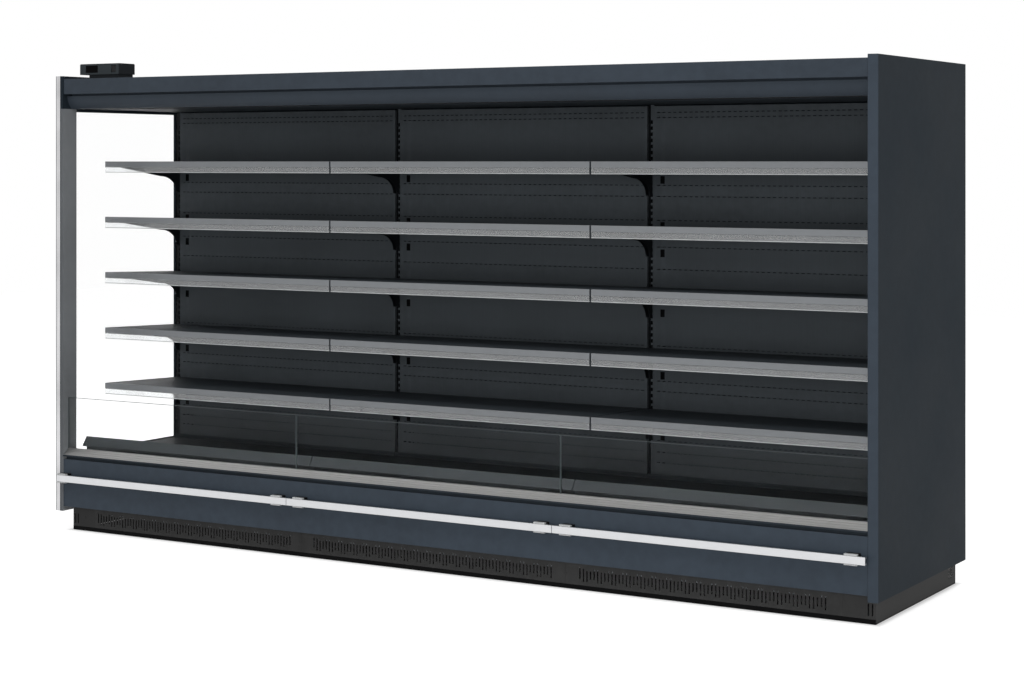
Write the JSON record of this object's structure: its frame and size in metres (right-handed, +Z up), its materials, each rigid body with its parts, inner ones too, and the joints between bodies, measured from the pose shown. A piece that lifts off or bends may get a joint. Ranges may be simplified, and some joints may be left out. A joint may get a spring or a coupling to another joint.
{
  "type": "open multideck display fridge",
  "caption": "Open-front multideck display fridge with bays of hooked shelves over lift-up decks, low front glass, one glazed end wall and a slotted plinth.",
  "frame": {"origin": "centre of the object's bounding box, on the floor", "axes": "+X along the front to the right as a shopper faces it, +Y from the open front to the back, +Z up"},
  "size_m": [3.83, 0.971, 2.0635],
  "materials": {
    "graphite_paint": "satin graphite powder coat",
    "dark_paint": "matt dark grey powder coat",
    "black_paint": "matt black powder coat",
    "bright_aluminium": "bright anodised",
    "satin_aluminium": "satin anodised, grooved",
    "galvanised_steel": "galvanised",
    "clear_glass": "polished edges",
    "white_plastic": "opal diffuser",
    "black_plastic": "fine moulded texture",
    "black_rubber": "matt"
  },
  "bodies": {
    "case": {"base_frame": "galvanised_steel", "base_tub": "dark_paint", "kick_plate_left": "dark_paint", "kick_plate_middle": "dark_paint", "kick_plate_right": "dark_paint", "plinth_corner_left": "dark_paint", "plinth_corner_right": "dark_paint", "floor_skirt": "black_rubber", "rear_wall": "dark_paint", "roof": "dark_paint", "end_wall_right": "graphite_paint", "end_wall_left": "dark_paint", "end_glass_left": "clear_glass", "end_trim_left": "bright_aluminium", "front_panel": "graphite_paint", "front_profile": "satin_aluminium", "riser_glass_left": "clear_glass", "riser_glass_middle": "clear_glass", "riser_glass_right": "clear_glass", "bumper_left": "bright_aluminium", "bumper_middle": "bright_aluminium", "bumper_right": "bright_aluminium", "canopy_fascia": "graphite_paint", "canopy_visor": "graphite_paint", "canopy_lamp": "white_plastic", "air_outlet": "black_plastic", "ceiling_panel": "dark_paint", "rear_panel_left": "dark_paint", "rear_panel_middle": "dark_paint", "rear_panel_right": "dark_paint", "upright_1": "dark_paint", "upright_2": "dark_paint", "upright_3": "dark_paint", "upright_4": "dark_paint", "fan_plate": "galvanised_steel", "evaporator": "galvanised_steel", "control_box": "black_plastic"},
    "shelf_left_1": {"shelf_left_1": "black_paint"},
    "shelf_left_2": {"shelf_left_2": "black_paint"},
    "shelf_left_3": {"shelf_left_3": "black_paint"},
    "shelf_left_4": {"shelf_left_4": "black_paint"},
    "shelf_left_5": {"shelf_left_5": "black_paint"},
    "shelf_middle_1": {"shelf_middle_1": "black_paint"},
    "shelf_middle_2": {"shelf_middle_2": "black_paint"},
    "shelf_middle_3": {"shelf_middle_3": "black_paint"},
    "shelf_middle_4": {"shelf_middle_4": "black_paint"},
    "shelf_middle_5": {"shelf_middle_5": "black_paint"},
    "shelf_right_1": {"shelf_right_1": "black_paint"},
    "shelf_right_2": {"shelf_right_2": "black_paint"},
    "shelf_right_3": {"shelf_right_3": "black_paint"},
    "shelf_right_4": {"shelf_right_4": "black_paint"},
    "shelf_right_5": {"shelf_right_5": "black_paint"},
    "deck_pan_left": {"deck_pan_left": "graphite_paint"},
    "deck_pan_middle": {"deck_pan_middle": "graphite_paint"},
    "deck_pan_right": {"deck_pan_right": "graphite_paint"},
    "fan_wheel_left": {"fan_wheel_left": "black_plastic"},
    "fan_wheel_middle": {"fan_wheel_middle": "black_plastic"},
    "fan_wheel_right": {"fan_wheel_right": "black_plastic"},
    "switch_rocker": {"switch_rocker": "black_plastic"}
  },
  "joints": [
    {"name": "shelf_left_1_tip", "type": "hinge", "parent": "case", "child": "shelf_left_1", "pos_m": [-1.25, 0.3265, 1.61225], "axis": [-1, 0, 0], "range_deg": [0, 20]},
    {"name": "shelf_left_2_tip", "type": "hinge", "parent": "case", "child": "shelf_left_2", "pos_m": [-1.25, 0.3265, 1.36225], "axis": [-1, 0, 0], "range_deg": [0, 20]},
    {"name": "shelf_left_3_tip", "type": "hinge", "parent": "case", "child": "shelf_left_3", "pos_m": [-1.25, 0.3265, 1.11225], "axis": [-1, 0, 0], "range_deg": [0, 20]},
    {"name": "shelf_left_4_tip", "type": "hinge", "parent": "case", "child": "shelf_left_4", "pos_m": [-1.25, 0.3265, 0.86225], "axis": [-1, 0, 0], "range_deg": [0, 20]},
    {"name": "shelf_left_5_tip", "type": "hinge", "parent": "case", "child": "shelf_left_5", "pos_m": [-1.25, 0.3265, 0.61225], "axis": [-1, 0, 0], "range_deg": [0, 20]},
    {"name": "shelf_middle_1_tip", "type": "hinge", "parent": "case", "child": "shelf_middle_1", "pos_m": [0, 0.3265, 1.61225], "axis": [-1, 0, 0], "range_deg": [0, 20]},
    {"name": "shelf_middle_2_tip", "type": "hinge", "parent": "case", "child": "shelf_middle_2", "pos_m": [0, 0.3265, 1.36225], "axis": [-1, 0, 0], "range_deg": [0, 20]},
    {"name": "shelf_middle_3_tip", "type": "hinge", "parent": "case", "child": "shelf_middle_3", "pos_m": [0, 0.3265, 1.11225], "axis": [-1, 0, 0], "range_deg": [0, 20]},
    {"name": "shelf_middle_4_tip", "type": "hinge", "parent": "case", "child": "shelf_middle_4", "pos_m": [0, 0.3265, 0.86225], "axis": [-1, 0, 0], "range_deg": [0, 20]},
    {"name": "shelf_middle_5_tip", "type": "hinge", "parent": "case", "child": "shelf_middle_5", "pos_m": [0, 0.3265, 0.61225], "axis": [-1, 0, 0], "range_deg": [0, 20]},
    {"name": "shelf_right_1_tip", "type": "hinge", "parent": "case", "child": "shelf_right_1", "pos_m": [1.25, 0.3265, 1.61225], "axis": [-1, 0, 0], "range_deg": [0, 20]},
    {"name": "shelf_right_2_tip", "type": "hinge", "parent": "case", "child": "shelf_right_2", "pos_m": [1.25, 0.3265, 1.36225], "axis": [-1, 0, 0], "range_deg": [0, 20]},
    {"name": "shelf_right_3_tip", "type": "hinge", "parent": "case", "child": "shelf_right_3", "pos_m": [1.25, 0.3265, 1.11225], "axis": [-1, 0, 0], "range_deg": [0, 20]},
    {"name": "shelf_right_4_tip", "type": "hinge", "parent": "case", "child": "shelf_right_4", "pos_m": [1.25, 0.3265, 0.86225], "axis": [-1, 0, 0], "range_deg": [0, 20]},
    {"name": "shelf_right_5_tip", "type": "hinge", "parent": "case", "child": "shelf_right_5", "pos_m": [1.25, 0.3265, 0.61225], "axis": [-1, 0, 0], "range_deg": [0, 20]},
    {"name": "deck_pan_left_lift", "type": "hinge", "parent": "case", "child": "deck_pan_left", "pos_m": [-1.25, 0.3125, 0.33], "axis": [-1, 0, 0], "range_deg": [0, 20]},
    {"name": "deck_pan_middle_lift", "type": "hinge", "parent": "case", "child": "deck_pan_middle", "pos_m": [0, 0.3125, 0.33], "axis": [-1, 0, 0], "range_deg": [0, 20]},
    {"name": "deck_pan_right_lift", "type": "hinge", "parent": "case", "child": "deck_pan_right", "pos_m": [1.25, 0.3125, 0.33], "axis": [-1, 0, 0], "range_deg": [0, 20]},
    {"name": "fan_wheel_left_spin", "type": "hinge", "parent": "case", "child": "fan_wheel_left", "pos_m": [-1.25, -0.19875, 0.25], "axis": [0, 1, 0], "continuous": true},
    {"name": "fan_wheel_middle_spin", "type": "hinge", "parent": "case", "child": "fan_wheel_middle", "pos_m": [0, -0.19875, 0.25], "axis": [0, 1, 0], "continuous": true},
    {"name": "fan_wheel_right_spin", "type": "hinge", "parent": "case", "child": "fan_wheel_right", "pos_m": [1.25, -0.19875, 0.25], "axis": [0, 1, 0], "continuous": true},
    {"name": "switch_rocker_throw", "type": "hinge", "parent": "case", "child": "switch_rocker", "pos_m": [-1.644, -0.3765, 2.03975], "axis": [-1, 0, 0], "range_deg": [0, 16]}
  ]
}
